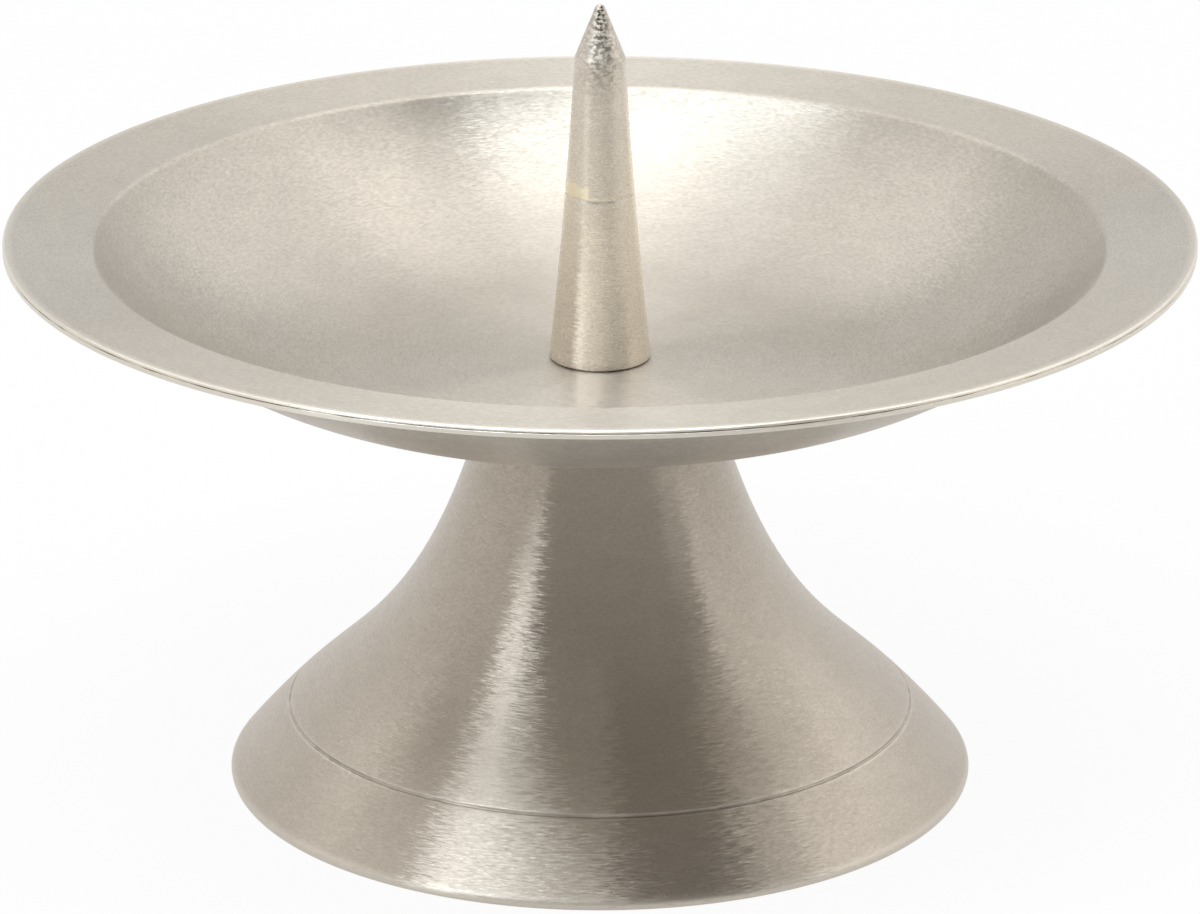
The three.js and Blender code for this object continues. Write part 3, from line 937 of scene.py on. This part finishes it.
def add_world(scene):
    """The tent's walls, white to the camera and in the metal, and dimmer as light on the floor."""
    world = bpy.data.worlds.new("pale tent")
    tree = new_tree(world)
    white = {"Value": seen_white(tree), "To Min": TENT_LIGHT, "To Max": 1.0}
    strength = add(tree, "ShaderNodeMapRange", white)
    light = add(tree, "ShaderNodeBackground", {"Color": WHITE, "Strength": strength})
    add(tree, "ShaderNodeOutputWorld", {"Surface": light})
    world.cycles.sampling_method = "NONE"
    scene.world = world


# Operators


class CANDLEPLATE_OT_dish(bpy.types.Operator):
    """Draws the spun dish with its rim"""

    bl_idname = "candle_plate.add_dish"
    bl_label = "Add Dish"

    def execute(self, context):
        scene = context.scene
        grid, painted_shade, painted_highlight = dish_grid(
            scene.candle_dish, scene.candle_fasteners.hole_radius, scene.candle_spike.radius
        )
        piece = add_surface("spun_dish", grid, painted_shade=painted_shade, painted_highlight=painted_highlight)
        dress(piece, satin_nickel(scene.candle_finishes), "dish")
        return {"FINISHED"}


class CANDLEPLATE_OT_foot(bpy.types.Operator):
    """Draws the spun trumpet foot"""

    bl_idname = "candle_plate.add_foot"
    bl_label = "Add Foot"

    def execute(self, context):
        scene = context.scene
        grid, painted_shade, painted_highlight = foot_grid(scene.candle_foot, scene.candle_fasteners.hole_radius)
        piece = add_surface("trumpet_foot", grid, painted_shade=painted_shade, painted_highlight=painted_highlight)
        dress(piece, brushed_nickel(scene.candle_finishes), "foot")
        return {"FINISHED"}


class CANDLEPLATE_OT_spike(bpy.types.Operator):
    """Draws the turned spike with its threaded stud"""

    bl_idname = "candle_plate.add_spike"
    bl_label = "Add Spike"

    def execute(self, context):
        scene = context.scene
        grid, painted_shade = spike_grid(scene.candle_spike)
        piece = add_surface("threaded_spike", grid, closed=False, painted_shade=painted_shade)
        material = turned_nickel(scene.candle_finishes, scene.candle_spike)
        dress(piece, material, "spike")
        return {"FINISHED"}


class CANDLEPLATE_OT_fasteners(bpy.types.Operator):
    """Draws the nut and the two washers inside the foot"""

    bl_idname = "candle_plate.add_fasteners"
    bl_label = "Add Fasteners"

    def execute(self, context):
        scene = context.scene
        size, finishes = scene.candle_fasteners, scene.candle_finishes
        zinc = plated_steel(
            "bright zinc plate", finishes.zinc, finishes, roughness=0.32, grain=0.8
        )
        steel = plated_steel(
            "oiled spring steel", finishes.steel, finishes, roughness=0.4, grain=0.5
        )
        section = ring_section(size.hole_radius, size.washer_radius, WASHER_LOW.z, WASHER_HIGH.z)
        washer = add_surface("plain_washer", turned(section, STEPS_SMALL))
        dress(washer, zinc, "flat_washer")
        spring = add_surface("split_washer", spring_grid(size), closed=False)
        dress(spring, steel, "spring_washer")
        nut = add_surface("threaded_nut", nut_grid(size, scene.candle_spike))
        dress(nut, zinc, "hex_nut")
        return {"FINISHED"}


class CANDLEPLATE_OT_stage(bpy.types.Operator):
    """Sets up the camera, the floor and the soft light"""

    bl_idname = "candle_plate.add_stage"
    bl_label = "Add Stage"

    def execute(self, context):
        scene = context.scene
        add_camera(scene)
        add_floor(scene.candle_finishes)
        add_world(scene)
        for name, values in SOFT_BOXES.items():
            add_soft_box(name, *values)
        for name, values in CLOTHS.items():
            add_cloth(name, *values)
        scene.view_settings.view_transform = "Standard"
        return {"FINISHED"}


class CANDLEPLATE_PT_sidebar(bpy.types.Panel):
    """Lists the pieces of the candle plate"""

    bl_idname = "CANDLEPLATE_PT_sidebar"
    bl_label = "Candle Plate"
    bl_space_type = "VIEW_3D"
    bl_region_type = "UI"
    bl_category = "Candle Plate"

    def draw(self, context):
        for operator in OPERATORS:
            self.layout.operator(operator.bl_idname)
        for name, group in GROUPS.items():
            settings = getattr(context.scene, name)
            box = self.layout.box()
            for size in group.__annotations__:
                box.prop(settings, size)


OPERATORS = (
    CANDLEPLATE_OT_dish,
    CANDLEPLATE_OT_foot,
    CANDLEPLATE_OT_spike,
    CANDLEPLATE_OT_fasteners,
    CANDLEPLATE_OT_stage,
)
CLASSES = (*GROUPS.values(), *OPERATORS, CANDLEPLATE_PT_sidebar)


def register():
    for each in CLASSES:
        bpy.utils.register_class(each)
    for name, group in GROUPS.items():
        setattr(bpy.types.Scene, name, PointerProperty(type=group))


def unregister():
    for name in GROUPS:
        delattr(bpy.types.Scene, name)
    for each in reversed(CLASSES):
        bpy.utils.unregister_class(each)


def main():
    register()
    bpy.ops.candle_plate.add_dish()
    bpy.ops.candle_plate.add_foot()
    bpy.ops.candle_plate.add_spike()
    bpy.ops.candle_plate.add_fasteners()
    bpy.ops.candle_plate.add_stage()


if __name__ == "__main__":
    main()
